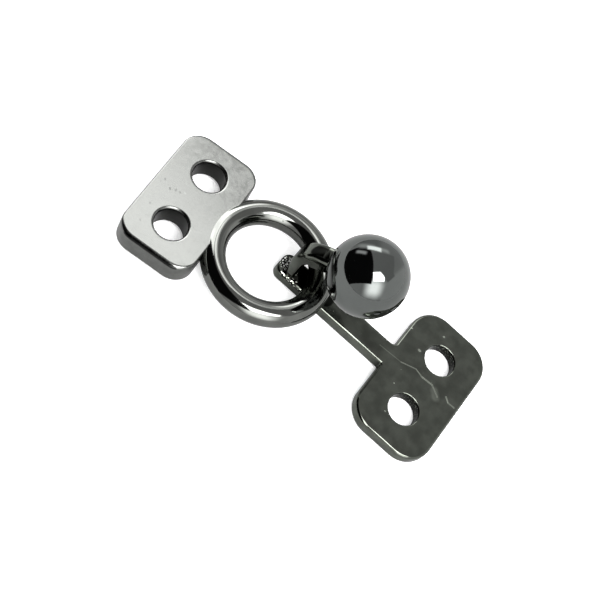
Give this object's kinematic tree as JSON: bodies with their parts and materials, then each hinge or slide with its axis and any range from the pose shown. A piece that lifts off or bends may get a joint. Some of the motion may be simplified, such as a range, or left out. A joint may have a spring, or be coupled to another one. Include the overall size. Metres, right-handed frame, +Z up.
{
  "type": "hook and eye clasp",
  "caption": "Fastened sew-on clasp: a ring on a flat tab hooked over a ball-tipped arm that rises from a thin stemmed plate; both ends have sewing holes.",
  "frame": {"origin": "middle of the hook plate's flat underside", "axes": "+X along the clasp from the eye tab to the hook plate, +Y across the clasp, +Z up from the surface it lies on"},
  "size_m": [0.038, 0.0184, 0.013],
  "materials": {
    "hook_metal": "polished black nickel, fine scratches",
    "ball_metal": "mirror-polished black nickel",
    "eye_metal": "mirror-polished black nickel, fine scratches and pits"
  },
  "bodies": {
    "root": {"hook": "hook_metal", "ball": "ball_metal", "eye": "eye_metal"}
  },
  "joints": []
}
